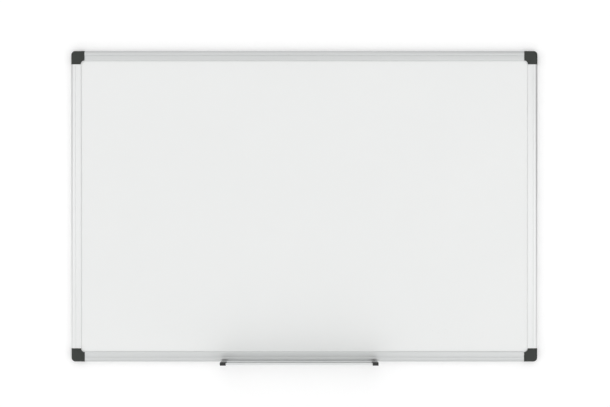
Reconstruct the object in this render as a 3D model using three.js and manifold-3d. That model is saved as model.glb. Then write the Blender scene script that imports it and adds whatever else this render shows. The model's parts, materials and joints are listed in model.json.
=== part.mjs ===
// Magnetic whiteboard: a bonded steel-faced panel in a screwed aluminium frame, with
// snap-on corner covers over the wall screws and a pen tray that slides along the bottom rail.
// Millimetres, +Z up, the writing surface faces -Y. The origin lies in the wall's plane, behind the
// centre of the board, midway between the four wall screws.

import * as THREE from 'three';
import { mergeVertices } from 'three/addons/utils/BufferGeometryUtils.js';
import Module from 'manifold-3d';

const wasm = await Module();
wasm.setup();

// Overall size of the frame
const boardWidth = 900;
const boardHeight = 600;

// Clearances
const seam = 0.3;
const fitGap = 0.3;
const panelEdgeGap = 0.5;
const glueLine = 0.05;

// Panel layers
const sheetThickness = 0.4;
const coreThickness = 5.9;
const backingThickness = 0.4;

// Rail section, measured inward from its outer side and forward from the wall
const railFaceWidth = 19.7;
const railWall = 1.2;
const railBoxWidth = 9.3;
const rearLipSetback = 3.3;
const rearLipThickness = 1.3;
const rearLipReach = 6.7;
const boardRecess = 1.9;
const crownRise = 0.4;
const railEdgeRadius = 6.2;
const shadowGrooveWidth = 0.7;
const shadowGrooveDepth = 0.3;
const lipThickness = 1.2;
const lipEdgeRadius = 1.0;
const wallCornerRadius = 0.5;

// Undercut slot along the outer side of every rail, which carries the tray
const slotCentre = 5.1;
const slotMouth = 3.0;
const slotWidth = 5.8;
const slotDepth = 1.6;
const slotRoof = 0.9;

// Corner bracket
const cornerSize = 26;
const cornerRadius = 7.6;
const notchRadius = 7.3;
const panelUnderlap = 1.9;
const bracketRim = 1.5;
const bracketWall = 1.5;
const bracketSideDrop = 2.8;
const spigotLength = 22;
const spigotTaperLength = 2.5;
const spigotTaper = 0.6;
const wallHoleRadius = 2.4;
const wallSinkRadius = 4.4;
const wallHolePlace = 10.2;
const socketAlong = 17.6;
const socketAcross = 6.4;
const socketHeight = 6;
const socketBlindDepth = 1.2;

// Corner cover
const coverWall = 1.4;
const coverPlate = 1.5;
const coverProud = 0.3;
const coverBandWidth = 4.0;
const pegRadius = 1.7;
const pegBead = 0.15;
const pegLeadLength = 1.0;
const pegBeadLength = 0.6;
const pegNeckLength = 0.6;
const pegTipGap = 0.9;

// Frame screws, countersunk, one through the back of each rail end
const screwRadius = 1.1;
const screwHeadRadius = 2.0;
const screwHeadHeight = 0.9;
const screwLength = 6.5;
const screwPointLength = 1.2;
const screwSetback = 10;
const screwSink = 0.1;
const pilotRunout = 0.6;

// Pen tray, its length taken over the end caps
const trayLength = 302;
const trayOffset = -9.9;
const trayProjection = 54;
const trayFloorThickness = 1.2;
const trayLipHeight = 4.1;
const trayLipThickness = 1.3;
const trayNoseRadius = 2.2;
const trayInnerRadius = 1.8;
const trayRearSetback = 1.5;

// Tray end caps
const capWidth = 11.2;
const capEndWall = 1.6;
const capWall = 0.9;
const capGap = 0.25;
const capSetback = 0.6;
const capBrowSetback = 0.6;
const capEdgeRadius = 0.6;

// Facets of a quarter turn, of a full turn and of a screw
const quarterSteps = 6;
const turnSteps = 24;
const screwSteps = 12;

// How far a cut runs past the face that it opens, and the least radius left on a rounded corner
const cutOver = 1;
const leastRadius = 0.2;

// Levels forward of the wall, in the order that they stack
const backLevel = rearLipSetback + rearLipThickness + fitGap;
const coreLevel = backLevel + backingThickness + glueLine;
const sheetLevel = coreLevel + coreThickness + glueLine;
const panelFront = sheetLevel + sheetThickness;
const railLipLevel = panelFront + fitGap;
const railFaceLevel = panelFront + boardRecess;
const railDepth = railFaceLevel + crownRise;
const coverFront = railDepth + coverProud;
const coverInside = coverFront - coverPlate;
const coverRear = bracketRim + fitGap;
const bracketTop = coverInside - fitGap;
const bracketFloor = rearLipSetback + rearLipThickness;

// Places along and across a rail
const railEnd = cornerSize + seam / 2;
const cornerEdge = cornerSize - seam / 2;
const chamberInner = railBoxWidth - railWall;
const chamberOuter = railWall + slotDepth + slotRoof;
const screwPlace = (chamberOuter + chamberInner) / 2;
const edgeCentre = railDepth - railEdgeRadius;

// Diagonal cut of the panel's corners, as the sum of the two distances from the frame's corner
const panelInset = railBoxWidth + panelEdgeGap;
const panelCutSum = (cornerSize * Math.SQRT2 - notchRadius - panelUnderlap) * Math.SQRT2;
const bracketCutSum = panelCutSum - panelEdgeGap * Math.SQRT2;

// Looks
const lacqueredSteel = { color: 0xebedec, roughness: 0.22, metalness: 0.0 };
const satinAluminium = { color: 0xd3d6d6, roughness: 0.38, metalness: 0.9 };
const darkPlastic = { color: 0x3b3f3c, roughness: 0.55, metalness: 0.0 };
const blackPlastic = { color: 0x262826, roughness: 0.5, metalness: 0.0 };
const fibreboard = { color: 0xa88f6c, roughness: 0.95, metalness: 0.0 };
const backingMetal = { color: 0xb4b8b9, roughness: 0.5, metalness: 0.7 };
const zincSteel = { color: 0xb9bcc0, roughness: 0.35, metalness: 1.0 };

// A closed geometry as a solid, with shared vertices merged and the flat triangles at poles left out
function solidOf(geometry) {
  const bare = geometry.clone();
  bare.deleteAttribute('normal');
  bare.deleteAttribute('uv');
  const merged = mergeVertices(bare, 1e-4);
  const corners = merged.index.array;
  const kept = [];
  for (let i = 0; i < corners.length; i += 3) {
    const [a, b, c] = corners.slice(i, i + 3);
    if (a !== b && b !== c && c !== a) kept.push(a, b, c);
  }
  const mesh = new wasm.Mesh({
    numProp: 3,
    vertProperties: Float32Array.from(merged.attributes.position.array),
    triVerts: Uint32Array.from(kept),
  });
  return new wasm.Manifold(mesh);
}

function geometryOf(solid) {
  const mesh = solid.getMesh();
  const geometry = new THREE.BufferGeometry();
  geometry.setAttribute('position', new THREE.BufferAttribute(mesh.vertProperties, 3));
  geometry.setIndex(new THREE.BufferAttribute(mesh.triVerts, 1));
  geometry.computeVertexNormals();
  return geometry;
}

// A section drawn as (distance up or inward, distance forward), extruded along X
const alongX = new THREE.Matrix4().makeBasis(
  new THREE.Vector3(0, 0, 1),
  new THREE.Vector3(0, -1, 0),
  new THREE.Vector3(1, 0, 0),
);

function extrudeAlongX(section, from, to) {
  const geometry = new THREE.ExtrudeGeometry(section, {
    depth: to - from,
    bevelEnabled: false,
    curveSegments: quarterSteps / 2,
  });
  return geometry.translate(0, 0, from).applyMatrix4(alongX);
}

// A plan outline drawn as (x, z), extruded forward from one level to another
function extrudeForward(outline, from, to) {
  const geometry = new THREE.ExtrudeGeometry(outline, {
    depth: to - from,
    bevelEnabled: false,
    curveSegments: quarterSteps / 2,
  });
  return geometry.translate(0, 0, from).rotateX(Math.PI / 2);
}

// A turned form on an axis that runs forward, from points of (radius, level) in rising order
function turned(points, x, z, steps = turnSteps) {
  const profile = points.map(([radius, level]) => new THREE.Vector2(radius, level));
  return new THREE.LatheGeometry(profile, steps).rotateX(Math.PI).translate(x, 0, z);
}

function roundBar(radius, from, to, x, z) {
  return turned([[0, from], [radius, from], [radius, to], [0, to]], x, z);
}

function mesh(name, geometry, look) {
  const part = new THREE.Mesh(geometry, new THREE.MeshStandardMaterial(look));
  part.name = name;
  return part;
}

// Rail section

// Angle at which an arc round the rail's rounded outer edge reaches a given level
function edgeAngleAtLevel(radius, level) {
  return Math.PI - Math.asin(Math.max(0, (level - edgeCentre) / radius));
}

function railSection() {
  const slotLow = slotCentre - slotWidth / 2;
  const slotHigh = slotCentre + slotWidth / 2;
  const mouthLow = slotCentre - slotMouth / 2;
  const mouthHigh = slotCentre + slotMouth / 2;
  const slotTop = railWall + slotDepth;
  const grooveEnd = railBoxWidth;
  const grooveStart = grooveEnd - shadowGrooveWidth;
  const grooveTaper = shadowGrooveWidth / 4;
  const grooveFloor = railFaceLevel - shadowGrooveDepth;
  const rearLipEnd = railBoxWidth + rearLipReach;
  const lipInside = railFaceWidth - lipThickness;
  const lipRound = Math.min(lipEdgeRadius, boardRecess - fitGap);

  const section = new THREE.Shape();
  section.moveTo(wallCornerRadius, 0);
  section.lineTo(railBoxWidth, 0);
  section.lineTo(railBoxWidth, rearLipSetback);
  section.lineTo(rearLipEnd, rearLipSetback);
  section.lineTo(rearLipEnd, rearLipSetback + rearLipThickness);
  section.lineTo(railBoxWidth, rearLipSetback + rearLipThickness);
  section.lineTo(railBoxWidth, railFaceLevel - railWall);
  section.lineTo(lipInside, railFaceLevel - railWall);
  section.lineTo(lipInside, railLipLevel);
  section.lineTo(railFaceWidth, railLipLevel);
  section.absarc(railFaceWidth - lipRound, railFaceLevel - lipRound, lipRound, 0, Math.PI / 2, false);
  section.lineTo(grooveEnd, railFaceLevel);
  section.lineTo(grooveEnd - grooveTaper, grooveFloor);
  section.lineTo(grooveStart + grooveTaper, grooveFloor);
  section.lineTo(grooveStart, railDepth);
  section.absarc(railEdgeRadius, edgeCentre, railEdgeRadius, Math.PI / 2, Math.PI, false);
  section.lineTo(0, mouthHigh);
  section.lineTo(railWall, mouthHigh);
  section.lineTo(railWall, slotHigh);
  section.lineTo(slotTop, slotHigh);
  section.lineTo(slotTop, slotLow);
  section.lineTo(railWall, slotLow);
  section.lineTo(railWall, mouthLow);
  section.lineTo(0, mouthLow);
  section.lineTo(0, wallCornerRadius);
  section.absarc(wallCornerRadius, wallCornerRadius, wallCornerRadius, Math.PI, 1.5 * Math.PI, false);

  const shelf = slotHigh + railWall;
  const innerRadius = railEdgeRadius - railWall;
  const shelfAngle = edgeAngleAtLevel(innerRadius, shelf);
  const chamber = new THREE.Path();
  chamber.moveTo(chamberOuter, railWall);
  chamber.lineTo(chamberOuter, shelf);
  chamber.absarc(railEdgeRadius, edgeCentre, innerRadius, shelfAngle, Math.PI / 2, true);
  chamber.lineTo(chamberInner, railDepth - railWall);
  chamber.lineTo(chamberInner, railWall);
  chamber.closePath();
  section.holes.push(chamber);
  return section;
}

// Countersunk hole through the rail's back wall
function railScrewHole(x, z) {
  const sinkRadius = screwHeadRadius + fitGap;
  const holeRadius = screwRadius + fitGap;
  const points = [
    [0, -cutOver],
    [sinkRadius, -cutOver],
    [sinkRadius, screwSink],
    [holeRadius, screwSink + screwHeadHeight],
    [holeRadius, railWall + cutOver],
    [0, railWall + cutOver],
  ];
  return solidOf(turned(points, x, z, screwSteps));
}

// A rail lying along X, with its outer side at the given distance below the board's centre
function rail(name, boardLength, outerSide) {
  const half = boardLength / 2 - railEnd;
  const bar = extrudeAlongX(railSection(), -half, half).translate(0, 0, -outerSide);
  const holeZ = screwPlace - outerSide;
  const drilled = solidOf(bar)
    .subtract(railScrewHole(half - screwSetback, holeZ))
    .subtract(railScrewHole(screwSetback - half, holeZ));
  return mesh(name, geometryOf(drilled), satinAluminium);
}

// Panel

function panelOutline() {
  const halfX = boardWidth / 2 - panelInset;
  const halfZ = boardHeight / 2 - panelInset;
  const cut = panelCutSum - 2 * panelInset;
  const outline = new THREE.Shape();
  outline.moveTo(cut - halfX, -halfZ);
  outline.lineTo(halfX - cut, -halfZ);
  outline.lineTo(halfX, cut - halfZ);
  outline.lineTo(halfX, halfZ - cut);
  outline.lineTo(halfX - cut, halfZ);
  outline.lineTo(cut - halfX, halfZ);
  outline.lineTo(-halfX, halfZ - cut);
  outline.lineTo(-halfX, cut - halfZ);
  outline.closePath();
  return outline;
}

function panelLayer(name, level, thickness, look) {
  return mesh(name, extrudeForward(panelOutline(), level, level + thickness), look);
}

// Corner pieces, drawn from the frame's outer corner, with both distances running inward

function cornerOutline(inset, reach, radius) {
  const outline = new THREE.Shape();
  outline.moveTo(inset + radius, inset);
  outline.lineTo(reach, inset);
  outline.lineTo(reach, reach);
  outline.lineTo(inset, reach);
  outline.lineTo(inset, inset + radius);
  outline.absarc(inset + radius, inset + radius, radius, Math.PI, 1.5 * Math.PI, false);
  return outline;
}

// The same outline with its inner corner cut off along the panel's diagonal edge
function bracketOutline(inset, reach, cutSum, radius) {
  const outline = new THREE.Shape();
  outline.moveTo(inset + radius, inset);
  outline.lineTo(reach, inset);
  outline.lineTo(reach, cutSum - reach);
  outline.lineTo(cutSum - reach, reach);
  outline.lineTo(inset, reach);
  outline.lineTo(inset, inset + radius);
  outline.absarc(inset + radius, inset + radius, radius, Math.PI, 1.5 * Math.PI, false);
  return outline;
}

// A block with rounded front edges, longer than the corner so that its far sides can be cut square
function roundedBlock(inset, radius, edgeRadius, front) {
  const reach = cornerSize * 2;
  const round = Math.min(edgeRadius, radius - leastRadius);
  const geometry = new THREE.ExtrudeGeometry(cornerOutline(inset, reach, radius), {
    depth: front - round,
    bevelThickness: round,
    bevelSize: round,
    bevelOffset: -round,
    bevelSegments: quarterSteps,
    curveSegments: quarterSteps / 2,
  });
  return solidOf(geometry.rotateX(Math.PI / 2));
}

function cornerBox(fromX, toX, fromZ, toZ, fromLevel, toLevel) {
  const box = new THREE.BoxGeometry(toX - fromX, toLevel - fromLevel, toZ - fromZ);
  return solidOf(box.translate((fromX + toX) / 2, -(fromLevel + toLevel) / 2, (fromZ + toZ) / 2));
}

const socketPlaces = [
  [socketAlong, socketAcross],
  [socketAcross, socketAlong],
];
const socketTop = bracketFloor + socketHeight;
const socketBottom = bracketFloor - socketBlindDepth;
const socketRadius = pegRadius + pegBead + fitGap;

// Spigot that plugs into a rail's chamber, drawn along X and swapped for the other rail
function spigot(swapped) {
  const low = chamberOuter + fitGap;
  const high = chamberInner - fitGap;
  const root = cornerEdge - bracketWall / 2;
  const tip = railEnd + spigotLength;
  const corners = [
    [root, low],
    [tip - spigotTaperLength, low],
    [tip, low + spigotTaper],
    [tip, high - spigotTaper],
    [tip - spigotTaperLength, high],
    [root, high],
  ];
  const points = corners.map(([along, across]) => {
    return swapped ? new THREE.Vector2(across, along) : new THREE.Vector2(along, across);
  });
  const outline = new THREE.Shape(points);
  const innerRadius = railEdgeRadius - railWall;
  const roof = edgeCentre + Math.sqrt(innerRadius ** 2 - Math.max(railEdgeRadius - low, 0) ** 2);
  const blade = extrudeForward(outline, railWall + fitGap, roof - fitGap);
  const holeAlong = railEnd + screwSetback;
  const [x, z] = swapped ? [screwPlace, holeAlong] : [holeAlong, screwPlace];
  const pilotEnd = screwSink + screwLength + pilotRunout;
  return solidOf(blade).subtract(solidOf(roundBar(screwRadius + fitGap, 0, pilotEnd, x, z)));
}

// Countersunk hole for the wall screw
function wallScrewHole() {
  const sinkStart = bracketFloor - (wallSinkRadius - wallHoleRadius);
  const points = [
    [0, -cutOver],
    [wallHoleRadius, -cutOver],
    [wallHoleRadius, sinkStart],
    [wallSinkRadius, bracketFloor],
    [wallSinkRadius, bracketFloor + cutOver],
    [0, bracketFloor + cutOver],
  ];
  return solidOf(turned(points, wallHolePlace, wallHolePlace));
}

function cornerBracket(name) {
  const inset = coverWall + fitGap;
  const wallRadius = cornerRadius - inset;
  const wellRadius = Math.max(wallRadius - bracketWall, leastRadius);
  const endWallInside = cornerEdge - bracketWall;
  const sideTop = bracketTop - bracketSideDrop;
  const walls = bracketOutline(inset, cornerEdge, bracketCutSum, wallRadius);
  const well = bracketOutline(
    inset + bracketWall,
    endWallInside,
    bracketCutSum - bracketWall * Math.SQRT2,
    wellRadius,
  );
  let bracket = solidOf(extrudeForward(walls, 0, bracketTop))
    .intersect(roundedBlock(inset, wallRadius, railEdgeRadius - inset, bracketTop))
    .subtract(cornerBox(-cutOver, endWallInside, -cutOver, endWallInside, sideTop, bracketTop + cutOver))
    .subtract(solidOf(extrudeForward(well, bracketFloor, bracketTop + cutOver)))
    .add(solidOf(extrudeForward(cornerOutline(0, cornerEdge, cornerRadius), 0, bracketRim)))
    .add(solidOf(extrudeForward(cornerOutline(inset, cornerEdge, wallRadius), 0, bracketFloor)))
    .subtract(wallScrewHole())
    .add(spigot(false))
    .add(spigot(true));
  for (const [x, z] of socketPlaces) {
    bracket = bracket
      .add(solidOf(roundBar(socketRadius + bracketWall, bracketRim, socketTop, x, z)))
      .subtract(solidOf(roundBar(socketRadius, socketBottom, socketTop + cutOver, x, z)));
  }
  return mesh(name, geometryOf(bracket), darkPlastic);
}

// Snap peg with a bead near its tapered tip
function snapPeg(x, z) {
  const tip = socketBottom + pegTipGap;
  const bead = pegRadius + pegBead;
  const beadStart = tip + pegLeadLength;
  const beadEnd = beadStart + pegBeadLength;
  const root = coverInside + coverPlate / 2;
  const points = [
    [0, tip],
    [pegRadius - 2 * pegBead, tip],
    [bead, beadStart],
    [bead, beadEnd],
    [pegRadius, beadEnd + pegNeckLength],
    [pegRadius, root],
    [0, root],
  ];
  return solidOf(turned(points, x, z));
}

// Hollow cover with a quarter-round notch, its plate lowered in a band along the notch and the rails
function cornerCover(name) {
  const notch = (radius, from, to) => solidOf(roundBar(radius, from, to, cornerSize, cornerSize));
  const over = coverFront + cutOver;
  const skin = roundedBlock(0, cornerRadius, railEdgeRadius, coverFront)
    .intersect(cornerBox(-cutOver, cornerEdge, -cutOver, cornerEdge, coverRear, over));
  const hollow = roundedBlock(coverWall, cornerRadius - coverWall, railEdgeRadius - coverWall, coverInside)
    .subtract(notch(notchRadius + coverWall, -cutOver, over));
  const bandStart = cornerEdge - coverBandWidth;
  const band = cornerBox(bandStart, cornerSize, -cutOver, cornerSize, railDepth, over)
    .add(cornerBox(-cutOver, cornerSize, bandStart, cornerSize, railDepth, over))
    .add(notch(notchRadius + coverBandWidth, railDepth, over));
  let cover = skin
    .subtract(hollow)
    .subtract(notch(notchRadius, 0, over))
    .subtract(notch(notchRadius + coverWall + cutOver, 0, railLipLevel))
    .subtract(band);
  for (const [x, z] of socketPlaces) cover = cover.add(snapPeg(x, z));
  return mesh(name, geometryOf(cover), darkPlastic);
}

// Countersunk self-tapping screw, its head just below the rail's back face
function frameScrew(name, x, z) {
  const headEnd = screwSink + screwHeadHeight;
  const tip = screwSink + screwLength;
  const points = [
    [0, screwSink],
    [screwHeadRadius, screwSink],
    [screwRadius, headEnd],
    [screwRadius, tip - screwPointLength],
    [0, tip],
  ];
  return mesh(name, turned(points, x, z, screwSteps), zincSteel);
}

// Pen tray, a flat floor drawn from the underside of the bottom rail, with a hook up into its slot

const trayFront = railDepth + trayProjection;
const trayFloorTop = -fitGap;
const trayFloorBottom = trayFloorTop - trayFloorThickness;
const trayLipTop = trayFloorBottom + trayLipHeight;
const trayTipRadius = trayLipThickness / 2;
const trayFillet = Math.min(trayInnerRadius, trayLipTop - trayTipRadius - trayFloorTop);

function traySection() {
  const stemHalf = slotMouth / 2 - fitGap;
  const headHalf = slotWidth / 2 - fitGap;
  const headLow = railWall + fitGap;
  const headHigh = railWall + slotDepth - fitGap;
  const lipBack = trayFront - trayLipThickness;
  const filletUp = trayFloorTop + trayFillet;
  const filletForward = lipBack - trayFillet;
  const noseUp = trayFloorBottom + trayNoseRadius;
  const noseForward = trayFront - trayNoseRadius;
  const tipUp = trayLipTop - trayTipRadius;

  const section = new THREE.Shape();
  section.moveTo(trayFloorBottom, trayRearSetback);
  section.lineTo(trayFloorTop, trayRearSetback);
  section.lineTo(trayFloorTop, slotCentre - stemHalf);
  section.lineTo(headLow, slotCentre - stemHalf);
  section.lineTo(headLow, slotCentre - headHalf);
  section.lineTo(headHigh, slotCentre - headHalf);
  section.lineTo(headHigh, slotCentre + headHalf);
  section.lineTo(headLow, slotCentre + headHalf);
  section.lineTo(headLow, slotCentre + stemHalf);
  section.lineTo(trayFloorTop, slotCentre + stemHalf);
  section.lineTo(trayFloorTop, filletForward);
  section.absarc(filletUp, filletForward, trayFillet, Math.PI, Math.PI / 2, true);
  section.lineTo(tipUp, lipBack);
  section.absarc(tipUp, lipBack + trayTipRadius, trayTipRadius, -Math.PI / 2, Math.PI / 2, false);
  section.lineTo(noseUp, trayFront);
  section.absarc(noseUp, noseForward, trayNoseRadius, Math.PI / 2, Math.PI, false);
  section.closePath();
  return section;
}

function penTray(name, bottom) {
  const half = trayLength / 2 - capEndWall - capGap;
  return mesh(name, extrudeAlongX(traySection(), -half, half).translate(0, 0, bottom), satinAluminium);
}

// The cap's outline, which follows the tray's section and fills its hollow up to a sloping top
function capSection() {
  const grow = capGap + capWall;
  const low = trayFloorBottom - grow;
  const front = trayFront + grow;
  const rear = railDepth - capSetback;
  const rearTop = trayFloorTop + grow;
  const frontTop = trayLipTop + grow;
  const nose = trayNoseRadius + grow;
  const brow = trayLipThickness;
  const section = new THREE.Shape();
  section.moveTo(low, rear);
  section.lineTo(rearTop, rear);
  section.lineTo(frontTop, trayFront - capBrowSetback - brow);
  section.lineTo(frontTop, front - brow);
  section.absarc(frontTop - brow, front - brow, brow, 0, Math.PI / 2, false);
  section.lineTo(low + nose, front);
  section.absarc(low + nose, front - nose, nose, Math.PI / 2, Math.PI, false);
  section.closePath();
  return section;
}

// The room in the cap for the tray's end, open to the rear
function capRoomSection() {
  const low = trayFloorBottom - capGap;
  const front = trayFront + capGap;
  const rear = railDepth - capSetback - cutOver;
  const floorTop = trayFloorTop + capGap;
  const lipTop = trayLipTop + capGap;
  const lipBack = trayFront - trayLipThickness - capGap;
  const nose = trayNoseRadius + capGap;
  const fillet = trayFillet - capGap;
  const section = new THREE.Shape();
  section.moveTo(low, rear);
  section.lineTo(floorTop, rear);
  section.lineTo(floorTop, lipBack - fillet);
  section.absarc(floorTop + fillet, lipBack - fillet, fillet, Math.PI, Math.PI / 2, true);
  section.lineTo(lipTop, lipBack);
  section.lineTo(lipTop, front);
  section.lineTo(low + nose, front);
  section.absarc(low + nose, front - nose, nose, Math.PI / 2, Math.PI, false);
  section.closePath();
  return section;
}

function trayCap(name, bottom, side) {
  const end = trayLength / 2;
  const body = new THREE.ExtrudeGeometry(capSection(), {
    depth: capWidth - 2 * capEdgeRadius,
    bevelThickness: capEdgeRadius,
    bevelSize: capEdgeRadius,
    bevelOffset: -capEdgeRadius,
    bevelSegments: quarterSteps / 2,
    curveSegments: quarterSteps / 2,
  });
  body.translate(0, 0, end - capWidth + capEdgeRadius).applyMatrix4(alongX);
  const room = extrudeAlongX(capRoomSection(), end - capWidth - cutOver, end - capEndWall);
  let cap = solidOf(body).subtract(solidOf(room));
  if (side < 0) cap = cap.mirror([1, 0, 0]);
  return mesh(name, geometryOf(cap.translate([0, 0, bottom])), blackPlastic);
}

// Assembly

const whiteboard = new THREE.Group();
whiteboard.name = 'magnetic_whiteboard';

whiteboard.add(panelLayer('backing_sheet', backLevel, backingThickness, backingMetal));
whiteboard.add(panelLayer('core_panel', coreLevel, coreThickness, fibreboard));
whiteboard.add(panelLayer('writing_sheet', sheetLevel, sheetThickness, lacqueredSteel));

// Each side is drawn as the bottom one and turned about the board's centre
const sides = [
  { name: 'bottom', turn: 0, length: boardWidth, outer: boardHeight / 2, ends: ['left', 'right'] },
  { name: 'left', turn: Math.PI / 2, length: boardHeight, outer: boardWidth / 2, ends: ['top', 'bottom'] },
  { name: 'top', turn: Math.PI, length: boardWidth, outer: boardHeight / 2, ends: ['right', 'left'] },
  { name: 'right', turn: -Math.PI / 2, length: boardHeight, outer: boardWidth / 2, ends: ['bottom', 'top'] },
];
for (const side of sides) {
  const group = new THREE.Group();
  group.rotation.y = side.turn;
  group.add(rail(`${side.name}_rail`, side.length, side.outer));
  const screwX = side.length / 2 - railEnd - screwSetback;
  const screwZ = screwPlace - side.outer;
  group.add(frameScrew(`frame_screw_${side.name}_rail_${side.ends[0]}`, -screwX, screwZ));
  group.add(frameScrew(`frame_screw_${side.name}_rail_${side.ends[1]}`, screwX, screwZ));
  whiteboard.add(group);
}

const corners = [
  { name: 'bottom_left', turn: 0, x: -1, z: -1 },
  { name: 'bottom_right', turn: -Math.PI / 2, x: 1, z: -1 },
  { name: 'top_right', turn: Math.PI, x: 1, z: 1 },
  { name: 'top_left', turn: Math.PI / 2, x: -1, z: 1 },
];
for (const corner of corners) {
  const group = new THREE.Group();
  group.position.set(corner.x * boardWidth / 2, 0, corner.z * boardHeight / 2);
  group.rotation.y = corner.turn;
  group.add(cornerBracket(`corner_bracket_${corner.name}`));
  group.add(cornerCover(`corner_cover_${corner.name}`));
  whiteboard.add(group);
}

const tray = new THREE.Group();
tray.position.x = trayOffset;
tray.add(penTray('pen_tray', -boardHeight / 2));
tray.add(trayCap('tray_cap_left', -boardHeight / 2, -1));
tray.add(trayCap('tray_cap_right', -boardHeight / 2, 1));
whiteboard.add(tray);

export default whiteboard;
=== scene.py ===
# Magnetic whiteboard on a white wall: anodised rails, snap-on corner covers and a sliding pen tray.
# Metres, +Z up, the writing surface faces -Y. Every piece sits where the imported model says.

import json
import math

import bmesh
import bpy
from mathutils import Matrix, Vector


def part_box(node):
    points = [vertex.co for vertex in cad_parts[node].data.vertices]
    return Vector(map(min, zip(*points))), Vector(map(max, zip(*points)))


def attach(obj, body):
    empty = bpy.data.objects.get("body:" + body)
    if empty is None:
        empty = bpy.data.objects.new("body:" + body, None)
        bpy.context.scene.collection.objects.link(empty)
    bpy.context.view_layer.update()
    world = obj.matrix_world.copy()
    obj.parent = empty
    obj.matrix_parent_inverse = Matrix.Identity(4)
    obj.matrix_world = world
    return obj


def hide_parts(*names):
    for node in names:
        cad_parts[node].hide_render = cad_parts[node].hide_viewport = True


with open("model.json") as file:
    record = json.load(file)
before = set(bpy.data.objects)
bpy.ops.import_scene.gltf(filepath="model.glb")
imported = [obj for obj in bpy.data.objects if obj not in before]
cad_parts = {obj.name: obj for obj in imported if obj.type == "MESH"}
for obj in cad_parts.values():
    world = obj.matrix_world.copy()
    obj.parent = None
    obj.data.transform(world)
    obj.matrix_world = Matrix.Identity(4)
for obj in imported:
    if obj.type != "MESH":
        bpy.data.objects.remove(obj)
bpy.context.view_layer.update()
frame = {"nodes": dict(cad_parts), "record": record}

MM = 0.001
X, Y, Z = 0, 1, 2

scene = bpy.context.scene
scene.view_settings.view_transform = "Standard"

rail_low, rail_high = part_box("bottom_rail")
WALL_Y = rail_high.y
RAIL_FRONT_Y = rail_low.y


# Camera, placed so that the frame sits in the picture as it does in the photograph

CAMERA_DISTANCE = 3.6
CAMERA_RISE = 0.0285
SENSOR_WIDTH_MM = 36

# What the picture takes in at the front of the rails, and the point there that it centres on
VIEW_WIDTH = 1.1765
AIM_RIGHT = 0.0012
AIM_UP = 0.0056


def make_camera():
    data = bpy.data.cameras.new("camera")
    data.sensor_width = SENSOR_WIDTH_MM
    data.lens = SENSOR_WIDTH_MM * CAMERA_DISTANCE / VIEW_WIDTH
    camera = bpy.data.objects.new("camera", data)
    scene.collection.objects.link(camera)
    aim = Vector((AIM_RIGHT, RAIL_FRONT_Y, AIM_UP))
    camera.location = aim + Vector((0, -CAMERA_DISTANCE, CAMERA_RISE))
    camera.rotation_euler = (aim - camera.location).to_track_quat("-Z", "Y").to_euler()
    scene.camera = camera


make_camera()


# Node trees

# Sockets of a Mix node that is set to colours
MIX_FACTOR = 0
MIX_FIRST = 6
MIX_SECOND = 7
MIX_RESULT = 2


class Value:
    """An output of a node. Arithmetic on it adds Math nodes."""

    def __init__(self, tree, socket):
        self.tree = tree
        self.socket = socket

    def math(self, operation, first, second):
        return self.tree.add("ShaderNodeMath", {"operation": operation}, {0: first, 1: second})

    def __add__(self, other):
        return self.math("ADD", self, other)

    def __radd__(self, other):
        return self.math("ADD", other, self)

    def __mul__(self, other):
        return self.math("MULTIPLY", self, other)

    def __rmul__(self, other):
        return self.math("MULTIPLY", other, self)

    def __pow__(self, other):
        return self.math("POWER", self, other)


class Tree:
    """The node tree of a material or of the world."""

    def __init__(self, owner):
        owner.use_nodes = True
        self.owner = owner
        self.nodes = owner.node_tree.nodes
        self.links = owner.node_tree.links
        self.nodes.clear()

    def add(self, kind, settings=None, inputs=None, output=0):
        """Adds a node, makes its settings, then sets or links the inputs that are given."""
        node = self.nodes.new(kind)
        for name, setting in (settings or {}).items():
            setattr(node, name, setting)
        for name, given in (inputs or {}).items():
            if isinstance(given, Value):
                self.links.new(given.socket, node.inputs[name])
            else:
                node.inputs[name].default_value = given
        return Value(self, node.outputs[output]) if node.outputs else None

    def noise(self, density, detail=2.0, roughness=0.5):
        """Noise on object coordinates, from 0 to 1. Density is features a metre on each axis."""
        place = self.add("ShaderNodeTexCoord", output="Object")
        spread = self.add("ShaderNodeMapping", None, {"Vector": place, "Scale": density})
        look = {"Vector": spread, "Scale": 1.0, "Detail": detail, "Roughness": roughness}
        return self.add("ShaderNodeTexNoise", None, look)

    def tint(self, factor, tones):
        """A colour between a finish's darkest and its lightest tone."""
        darkest, lightest = tones
        colours = {MIX_FACTOR: factor, MIX_FIRST: (*darkest, 1), MIX_SECOND: (*lightest, 1)}
        return self.add("ShaderNodeMix", {"data_type": "RGBA"}, colours, output=MIX_RESULT)

    def bump(self, height, relief):
        return self.add("ShaderNodeBump", None, {"Height": height, "Distance": relief})

    def either(self, factor, first, second):
        """The first shader where the factor is 0 and the second where it is 1."""
        return self.add("ShaderNodeMixShader", None, {0: factor, 1: first, 2: second})

    def shader(self, **inputs):
        named = {name.replace("_", " "): given for name, given in inputs.items()}
        return self.add("ShaderNodeBsdfPrincipled", None, named)

    def ending_in(self, shader):
        self.add("ShaderNodeOutputMaterial", None, {"Surface": shader})
        return self.owner

    def surface(self, **inputs):
        return self.ending_in(self.shader(**inputs))


def material(name):
    return Tree(bpy.data.materials.new(name))


# Looks

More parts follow.
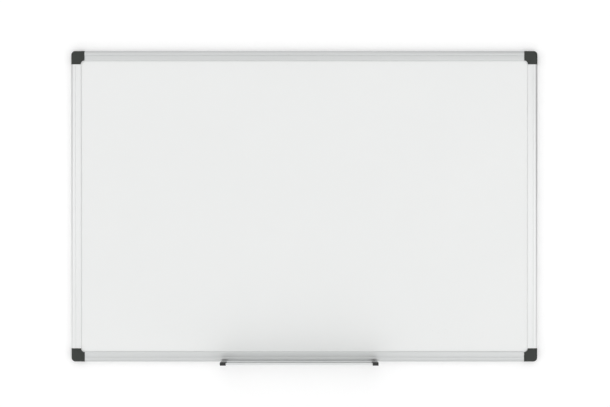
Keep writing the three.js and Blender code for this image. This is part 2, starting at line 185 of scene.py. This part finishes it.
# Darkest and lightest tone of each finish
# The rails across and the upright rails are one aluminium. The upright ones are painted lighter and
# the ones across darker: painted sheen and painted shade for how the side lamps catch the die lines
RAIL_ACROSS_SHADED_TONES = ((0.600, 0.610, 0.608), (0.730, 0.742, 0.740))
RAIL_UPRIGHT_LIT_TONES = ((0.775, 0.783, 0.780), (0.890, 0.898, 0.895))
TRAY_TONES = ((0.690, 0.700, 0.698), (0.800, 0.810, 0.808))
LACQUER_TONES = ((0.825, 0.835, 0.829), (0.848, 0.857, 0.851))
CORNER_TONES = ((0.013, 0.016, 0.013), (0.026, 0.031, 0.027))
TRAY_CAP_TONES = ((0.010, 0.011, 0.010), (0.020, 0.021, 0.020))
FIBREBOARD_TONES = ((0.20, 0.12, 0.06), (0.55, 0.42, 0.27))
BACKING_TONES = ((0.50, 0.52, 0.53), (0.72, 0.735, 0.74))
ZINC_TONES = ((0.52, 0.53, 0.55), (0.70, 0.71, 0.73))

# Roughness of each finish where it is glossiest
RAIL_ROUGHNESS = 0.46
TRAY_ROUGHNESS = 0.38
LACQUER_ROUGHNESS = 0.24
CORNER_ROUGHNESS = 0.42
TRAY_CAP_ROUGHNESS = 0.36
FIBREBOARD_ROUGHNESS = 0.85
BACKING_ROUGHNESS = 0.34
ZINC_ROUGHNESS = 0.26

# Height of each finish's relief
DIE_LINE_RELIEF = 0.03 * MM
ORANGE_PEEL_RELIEF = 0.04 * MM
MOULD_GRAIN_RELIEF = 0.03 * MM
FIBRE_RELIEF = 0.12 * MM
ROLLING_RELIEF = 0.06 * MM
ZINC_RELIEF = 0.02 * MM

# Features a metre of the patterns that are the same in every direction
METAL_CLOUDS = 9.0
LACQUER_CLOUDS = 5.0
ORANGE_PEEL = 260.0
LACQUER_SWELL = 14.0
MOULD_GRAIN = 2400.0
PLASTIC_CLOUDS = 90.0
FIBRE_CLOUDS = 30.0
BACKING_SMUDGES = 7.0
ZINC_PITS = 1800.0

# Features a metre of the patterns that are drawn out, across their lines and along them
DIE_LINES = (2600.0, 3.0)
DIE_BANDS = (420.0, 0.8)
ROLLING_LINES = (700.0, 4.0)
ROLLING_STREAKS = (60.0, 1.2)
PRESSED_FIBRES = (900.0, 300.0)


def evenly(density):
    return (density,) * 3


def drawn_out(pattern, axis):
    """The density of a pattern whose lines run along one axis."""
    across, along = pattern
    density = [across] * 3
    density[axis] = along
    return density


def satin_aluminium(name, axis, tones, roughness):
    """Satin anodised extrusion. Die lines run along one axis, fine ones over broad faint bands."""
    tree = material(name)
    lines = tree.noise(drawn_out(DIE_LINES, axis), detail=3.0, roughness=0.6)
    bands = tree.noise(drawn_out(DIE_BANDS, axis))
    cloud = tree.noise(evenly(METAL_CLOUDS), detail=3.0)
    return tree.surface(
        Base_Color=tree.tint(lines * 0.35 + bands * 0.40 + cloud * 0.25, tones),
        Metallic=1.0,
        Roughness=roughness + lines * 0.12 + cloud * 0.06,
        Normal=tree.bump(lines * 0.7 + bands * 0.9, DIE_LINE_RELIEF),
    )


def lacquered_steel():
    """White lacquer on steel, level but for a slight orange peel."""
    tree = material("lacquered_steel")
    cloud = tree.noise(evenly(LACQUER_CLOUDS), detail=3.0)
    peel = tree.noise(evenly(ORANGE_PEEL))
    swell = tree.noise(evenly(LACQUER_SWELL), detail=1.0)
    return tree.surface(
        Base_Color=tree.tint(cloud, LACQUER_TONES),
        Roughness=LACQUER_ROUGHNESS + cloud * 0.06 + peel * 0.04,
        Normal=tree.bump(peel * 0.3 + swell * 2.0, ORANGE_PEEL_RELIEF),
    )


def moulded_plastic(name, tones, roughness):
    """Black or dark grey moulded plastic with the fine grain of a spark-eroded mould."""
    tree = material(name)
    grain = tree.noise(evenly(MOULD_GRAIN), roughness=0.7)
    cloud = tree.noise(evenly(PLASTIC_CLOUDS), detail=3.0)
    return tree.surface(
        Base_Color=tree.tint(cloud * 0.7 + grain * 0.3, tones),
        Roughness=roughness + grain * 0.14 + cloud * 0.05,
        Normal=tree.bump(grain, MOULD_GRAIN_RELIEF),
    )


def fibreboard():
    """Pressed wood fibre, speckled with short pale and dark fibres."""
    tree = material("fibreboard")
    fibre = tree.noise(drawn_out(PRESSED_FIBRES, Z), detail=4.0, roughness=0.7)
    cloud = tree.noise(evenly(FIBRE_CLOUDS), detail=3.0)
    return tree.surface(
        Base_Color=tree.tint(fibre * 0.7 + cloud * 0.3, FIBREBOARD_TONES),
        Roughness=FIBREBOARD_ROUGHNESS,
        Normal=tree.bump(fibre, FIBRE_RELIEF),
    )


def backing_metal():
    """Mill-finish balancing sheet with rolling lines, faint smudges and a slightly uneven sheen."""
    tree = material("backing_metal")
    rolled = tree.noise(drawn_out(ROLLING_LINES, X), detail=3.0, roughness=0.6)
    streaks = tree.noise(drawn_out(ROLLING_STREAKS, X), detail=3.0)
    smudge = tree.noise(evenly(BACKING_SMUDGES), detail=4.0, roughness=0.6)
    return tree.surface(
        Base_Color=tree.tint(rolled * 0.3 + streaks * 0.4 + smudge * 0.3, BACKING_TONES),
        Metallic=0.9,
        Roughness=BACKING_ROUGHNESS + smudge * 0.22 + rolled * 0.08,
        Normal=tree.bump(rolled * 0.5 + smudge * 3.0, ROLLING_RELIEF),
    )


def zinc_steel():
    """Bright zinc plate with slight pitting."""
    tree = material("zinc_steel")
    pits = tree.noise(evenly(ZINC_PITS), detail=3.0, roughness=0.6)
    return tree.surface(
        Base_Color=tree.tint(pits, ZINC_TONES),
        Metallic=1.0,
        Roughness=ZINC_ROUGHNESS + pits * 0.18,
        Normal=tree.bump(pits, ZINC_RELIEF),
    )


looks = {
    # One aluminium in two tones: painted shade on the rails across, painted sheen on the upright
    # rails
    "rail_across_shaded": satin_aluminium(
        "satin_aluminium_across_shaded", X, RAIL_ACROSS_SHADED_TONES, RAIL_ROUGHNESS
    ),
    "rail_upright_lit": satin_aluminium(
        "satin_aluminium_upright_lit", Z, RAIL_UPRIGHT_LIT_TONES, RAIL_ROUGHNESS
    ),
    "tray": satin_aluminium("satin_aluminium_tray", X, TRAY_TONES, TRAY_ROUGHNESS),
    "lacquered_steel": lacquered_steel(),
    "dark_plastic": moulded_plastic("dark_plastic", CORNER_TONES, CORNER_ROUGHNESS),
    "black_plastic": moulded_plastic("black_plastic", TRAY_CAP_TONES, TRAY_CAP_ROUGHNESS),
    "fibreboard": fibreboard(),
    "backing_metal": backing_metal(),
    "zinc_steel": zinc_steel(),
}


# Pieces

# Facets that meet at less than this are shaded as one curve
SMOOTH_BELOW = math.radians(32)

# Edges that turn by more than this are broken
SHARP_ABOVE = math.radians(38)

# Facets that turn by less than this are made one face
COPLANAR = math.radians(0.3)

WELD_DISTANCE = 1e-6
EDGE_SEGMENTS = 2

slots = {entry["node"]: entry["material_slot"] for entry in frame["record"]["subparts"]}
bodies = {
    node: body
    for body, members in frame["record"]["behaviour"]["bodies"].items()
    for node in members
}


def add_piece(name, bm, look, node, stands_for_it=True):
    """Makes a piece that rides on a node's body, and takes the node's place unless it adds to it."""
    mesh = bpy.data.meshes.new(name)
    bm.to_mesh(mesh)
    bm.free()
    mesh.polygons.foreach_set("use_smooth", [True] * len(mesh.polygons))
    mesh.set_sharp_from_angle(angle=SMOOTH_BELOW)
    mesh.materials.append(looks[look])
    piece = bpy.data.objects.new(name, mesh)
    scene.collection.objects.link(piece)
    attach(piece, bodies[node])
    if stands_for_it:
        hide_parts(node)


def sharp_edges(bm):
    return [e for e in bm.edges if e.is_manifold and e.calc_face_angle() > SHARP_ABOVE]


def vertices_of(made):
    return {part for part in made["geom"] if isinstance(part, bmesh.types.BMVert)}


def edges_among(bm, verts):
    return [e for e in bm.edges if verts.issuperset(e.verts)]


def finished(node, look, edge_radius):
    """A node's own form with its facets joined and its sharp edges broken."""
    bm = bmesh.new()
    bm.from_mesh(frame["nodes"][node].data)
    bmesh.ops.remove_doubles(bm, verts=bm.verts, dist=WELD_DISTANCE)
    bmesh.ops.dissolve_limit(bm, angle_limit=COPLANAR, verts=bm.verts, edges=bm.edges)
    bmesh.ops.bevel(
        bm,
        geom=sharp_edges(bm),
        offset=edge_radius,
        segments=EDGE_SEGMENTS,
        profile=0.5,
        affect="EDGES",
        clamp_overlap=True,
        material=-1,
    )
    add_piece(f"{node}_finished", bm, look, node)


# Frame screws

HEAD_SEGMENTS = 24
HEAD_EDGE = 0.08 * MM
HEAD_BAND = 2 * HEAD_EDGE
SHANK_RADIUS = 0.85 * MM
TIP_RADIUS = SHANK_RADIUS / 8
TIP_LENGTH = 1.4 * SHANK_RADIUS
THREAD_RADIUS = 1.1 * MM
THREAD_ROOT = 0.9 * SHANK_RADIUS
THREAD_FOOT = 0.25 * MM
THREAD_PITCH = 0.8 * MM
THREAD_START = 1.3 * MM
THREAD_TURNS = 5
TURN_STEPS = 16
RECESS_ARM = 1.15 * MM
RECESS_HALF_WIDTH = 0.28 * MM
RECESS_DEPTH = 0.75 * MM
RECESS_NARROWING = 0.45


def recess_line(along):
    """Where a line of a three by three grid, 2 wide, goes: to the arms' ends or to their sides."""
    is_outer_line = abs(along) > 0.5
    reach = RECESS_ARM if is_outer_line else RECESS_HALF_WIDTH
    return math.copysign(reach, along)


def in_recess(face):
    """Whether a face of the head lies in one of the two arms that cross."""
    middle = face.calc_center_median()
    return min(abs(middle.x), abs(middle.z)) < RECESS_HALF_WIDTH / 2


def sink_recess(bm, faces):
    """Presses a cross-shaped set of faces into the head and narrows it towards its floor."""
    sunk = bmesh.ops.extrude_face_region(bm, geom=faces)
    bmesh.ops.delete(bm, geom=faces, context="FACES")
    floor_verts = list(vertices_of(sunk))
    narrowed = (RECESS_NARROWING, 1, RECESS_NARROWING)
    bmesh.ops.scale(bm, vec=narrowed, verts=floor_verts)
    bmesh.ops.translate(bm, vec=(0, -RECESS_DEPTH, 0), verts=floor_verts)


def screw_head(bm, radius):
    """The flat of a head with its recess. Gives back the ring of edges round it."""
    bmesh.ops.create_grid(bm, x_segments=3, y_segments=3, size=1)
    for vert in bm.verts:
        vert.co = (recess_line(vert.co.x), 0, recess_line(vert.co.y))
    bmesh.ops.recalc_face_normals(bm, faces=bm.faces)
    recess = [f for f in bm.faces if in_recess(f)]
    rim = [e for e in bm.edges if e.is_boundary]
    facing_wall = Matrix.Rotation(math.pi / 2, 4, "X")
    circle = bmesh.ops.create_circle(
        bm, segments=HEAD_SEGMENTS, radius=radius - HEAD_EDGE, matrix=facing_wall
    )
    ring = edges_among(bm, set(circle["verts"]))
    bmesh.ops.bridge_loops(bm, edges=rim + ring)
    sink_recess(bm, recess)
    return ring


def next_ring(bm, ring, radius, level):
    """Carries a ring of edges about the Y axis on to another radius and level."""
    verts = vertices_of(bmesh.ops.extrude_edge_only(bm, edges=ring))
    for vert in verts:
        outward = Vector((vert.co.x, 0, vert.co.z)).normalized()
        vert.co = outward * radius + Vector((0, level, 0))
    return edges_among(bm, verts)


def add_thread(bm):
    """A ridge of triangular section, wound round the shank towards its tip."""
    section = [
        (THREAD_ROOT, -THREAD_FOOT / 2),
        (THREAD_RADIUS, 0),
        (THREAD_ROOT, THREAD_FOOT / 2),
    ]
    verts = [bm.verts.new((radius, level - THREAD_START, 0)) for radius, level in section]
    bmesh.ops.spin(
        bm,
        geom=[bm.faces.new(verts)],
        cent=(0, 0, 0),
        axis=(0, 1, 0),
        dvec=(0, -THREAD_PITCH / TURN_STEPS, 0),
        angle=math.tau * THREAD_TURNS,
        steps=TURN_STEPS * THREAD_TURNS,
        use_merge=False,
    )


def frame_screw(node):
    """A countersunk cross-recess screw in place of a node's plain one. Its head looks at the wall."""
    low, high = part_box(node)
    head_radius = (high.x - low.x) / 2
    length = high.y - low.y
    bm = bmesh.new()
    ring = screw_head(bm, head_radius)
    for radius, level in (
        (head_radius, -HEAD_EDGE),
        (head_radius, -HEAD_BAND),
        (SHANK_RADIUS, HEAD_BAND - (head_radius - SHANK_RADIUS)),
        (SHANK_RADIUS, TIP_LENGTH - length),
        (TIP_RADIUS, -length),
    ):
        ring = next_ring(bm, ring, radius, level)
    bmesh.ops.contextual_create(bm, geom=ring)
    bmesh.ops.recalc_face_normals(bm, faces=bm.faces)
    add_thread(bm)
    bmesh.ops.recalc_face_normals(bm, faces=bm.faces)
    middle = (low + high) / 2
    bmesh.ops.translate(bm, vec=(middle.x, high.y, middle.z), verts=bm.verts)
    add_piece(f"{node}_finished", bm, "zinc_steel", node)


# Tray cove

# The round lower edge of the rail and the thickness of the tray's floor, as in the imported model
RAIL_ROUND = 6.2 * MM
TRAY_FLOOR = 1.2 * MM

# How far the cove follows the rail's round and how near it comes
COVE_HUG = math.radians(47)
COVE_GAP = 0.15 * MM

# Its tip, and the hollow that sweeps down from there to the floor
COVE_TIP = 0.25 * MM
COVE_RADIUS = 2.3 * MM
COVE_SWEEP = math.radians(84)

ARC_STEPS = 10


def arc(centre_y, centre_z, radius, start, end):
    """Points of an arc in the YZ plane. Angle 0 is down, and a quarter turn is towards the wall."""
    turn = (end - start) / ARC_STEPS
    angles = [start + turn * step for step in range(ARC_STEPS + 1)]
    return [
        (centre_y + radius * math.sin(angle), centre_z - radius * math.cos(angle))
        for angle in angles
    ]


def tray_cove():
    """The fillet that carries the tray's floor up to the round lower edge of the rail."""
    low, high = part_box("pen_tray")
    floor_top = low.z + TRAY_FLOOR
    round_y = RAIL_FRONT_Y + RAIL_ROUND
    round_z = rail_low.z + RAIL_ROUND
    hug_radius = RAIL_ROUND + COVE_GAP
    tip_y = round_y - hug_radius * math.sin(COVE_HUG) - COVE_TIP
    hug = arc(round_y, round_z, hug_radius, 0, -COVE_HUG)
    hollow = arc(tip_y - COVE_RADIUS, floor_top + COVE_RADIUS, COVE_RADIUS, COVE_SWEEP, 0)
    foot_z = floor_top - TRAY_FLOOR / 2
    foot = [(y, foot_z) for y in (hollow[-1][0], hug[0][0])]
    bm = bmesh.new()
    outline = [bm.verts.new((low.x, y, z)) for y, z in hug + hollow + foot]
    grown = bmesh.ops.extrude_face_region(bm, geom=[bm.faces.new(outline)])
    far_end = list(vertices_of(grown))
    bmesh.ops.translate(bm, vec=(high.x - low.x, 0, 0), verts=far_end)
    bmesh.ops.recalc_face_normals(bm, faces=bm.faces)
    add_piece("tray_cove", bm, "tray", "pen_tray", stands_for_it=False)


# Finish of every node

# How far the sharp edges are broken
RAIL_EDGE = 0.12 * MM
COVER_EDGE = 0.22 * MM
BRACKET_EDGE = 0.12 * MM
TRAY_EDGE = 0.15 * MM
CAP_EDGE = 0.20 * MM

finished("bottom_rail", "rail_across_shaded", RAIL_EDGE)
finished("left_rail", "rail_upright_lit", RAIL_EDGE)
finished("top_rail", "rail_across_shaded", RAIL_EDGE)
finished("right_rail", "rail_upright_lit", RAIL_EDGE)
for corner in ("bottom_left", "bottom_right", "top_right", "top_left"):
    finished(f"corner_cover_{corner}", "dark_plastic", COVER_EDGE)
    finished(f"corner_bracket_{corner}", "dark_plastic", BRACKET_EDGE)
finished("pen_tray", "tray", TRAY_EDGE)
tray_cove()
for end in ("left", "right"):
    finished(f"tray_cap_{end}", "black_plastic", CAP_EDGE)
for node in slots:
    if node.startswith("frame_screw"):
        frame_screw(node)
for node in ("writing_sheet", "core_panel", "backing_sheet"):
    sheet = frame["nodes"][node].data
    sheet.materials.clear()
    sheet.materials.append(looks[slots[node]])


# Floor and wall

FLOOR_SIZE = 24
FLOOR_DROP = 1.25
FLOOR_GLOW = 0.23
WALL_WIDTH = 2.6
WALL_HEIGHT = 2.2
WALL_GAP = 0.05 * MM
WALL_GLOW = 0.13
PAINT_WHITE = 0.92
PAINT_ROUGHNESS = 0.9


def make_stage(name, size_x, size_y, look):
    """A flat rectangle about the origin that isn't part of the board."""
    bm = bmesh.new()
    bmesh.ops.create_grid(bm, x_segments=1, y_segments=1, size=0.5)
    bmesh.ops.scale(bm, vec=(size_x, size_y, 1), verts=bm.verts)
    mesh = bpy.data.meshes.new(name)
    bm.to_mesh(mesh)
    bm.free()
    mesh.materials.append(look)
    stage = bpy.data.objects.new(name, mesh)
    scene.collection.objects.link(stage)
    return stage


def matt_white(tree, glow):
    """Matt white paint that a studio lamp beyond the picture lights up a little more."""
    white = (*evenly(PAINT_WHITE), 1)
    return tree.shader(
        Base_Color=white, Roughness=PAINT_ROUGHNESS, Emission_Color=white, Emission_Strength=glow
    )


def floor_paint():
    tree = material("floor_paint")
    return tree.ending_in(matt_white(tree, FLOOR_GLOW))


def wall_paint():
    """Paint on the board's side of the wall only, so that the board's back can be seen too."""
    tree = material("wall_paint")
    painted = matt_white(tree, WALL_GLOW)
    clear = tree.add("ShaderNodeBsdfTransparent")
    behind = tree.add("ShaderNodeNewGeometry", output="Backfacing")
    return tree.ending_in(tree.either(behind, painted, clear))


floor = make_stage("floor", FLOOR_SIZE, FLOOR_SIZE, floor_paint())
floor.location.z = -FLOOR_DROP

wall = make_stage("wall", WALL_WIDTH, WALL_HEIGHT, wall_paint())
wall.rotation_euler.x = math.radians(90)
wall.location.y = WALL_Y + WALL_GAP
wall.visible_diffuse = False
wall.visible_glossy = False
wall.visible_shadow = False


# Lights, two soft boxes in front that are turned to the middle of the board

SOFT_BOX_SIZE = (2.2, 2.4)
KEY_PLACE = (-3.0, -2.4, 0.2)
KEY_POWER = 11
FILL_PLACE = (2.5, -2.8, -0.25)
FILL_POWER = 13.5


def make_soft_box(name, place, power):
    data = bpy.data.lights.new(name, "AREA")
    data.shape = "RECTANGLE"
    data.size, data.size_y = SOFT_BOX_SIZE
    data.energy = power
    light = bpy.data.objects.new(name, data)
    scene.collection.objects.link(light)
    light.location = place
    light.rotation_euler = (-Vector(place)).to_track_quat("-Z", "Y").to_euler()
    light.visible_camera = False


make_soft_box("key", KEY_PLACE, KEY_POWER)
make_soft_box("fill", FILL_PLACE, FILL_POWER)


# White tent round the studio. Each side has an axis, the way along it and a brightness

TENT_SIDES = {
    "left": (X, -1, 0.42),
    "right": (X, 1, 0.08),
    "front": (Y, -1, 1.08),
    "behind": (Y, 1, 0.70),
    "overhead": (Z, 1, 0.96),
}
BACKDROP_BRIGHTNESS = 1.0
WHITE = (1, 1, 1, 1)


def make_world():
    """The tent that lights the board, and the plain backdrop that the camera sees in its place."""
    tree = Tree(bpy.data.worlds.new("studio"))
    toward = tree.add("ShaderNodeTexCoord", output="Generated")
    brightness = 0
    for axis, way, side_brightness in TENT_SIDES.values():
        along = tree.add("ShaderNodeSeparateXYZ", None, {"Vector": toward}, output=axis)
        facing = {"operation": "MULTIPLY", "use_clamp": True}
        side = tree.add("ShaderNodeMath", facing, {0: along, 1: way})
        brightness = side ** 2 * side_brightness + brightness
    tent = {"Color": WHITE, "Strength": brightness}
    backdrop = {"Color": WHITE, "Strength": BACKDROP_BRIGHTNESS}
    both = tree.either(
        tree.add("ShaderNodeLightPath", output="Is Camera Ray"),
        tree.add("ShaderNodeBackground", None, tent),
        tree.add("ShaderNodeBackground", None, backdrop),
    )
    tree.add("ShaderNodeOutputWorld", None, {"Surface": both})
    scene.world = tree.owner


make_world()
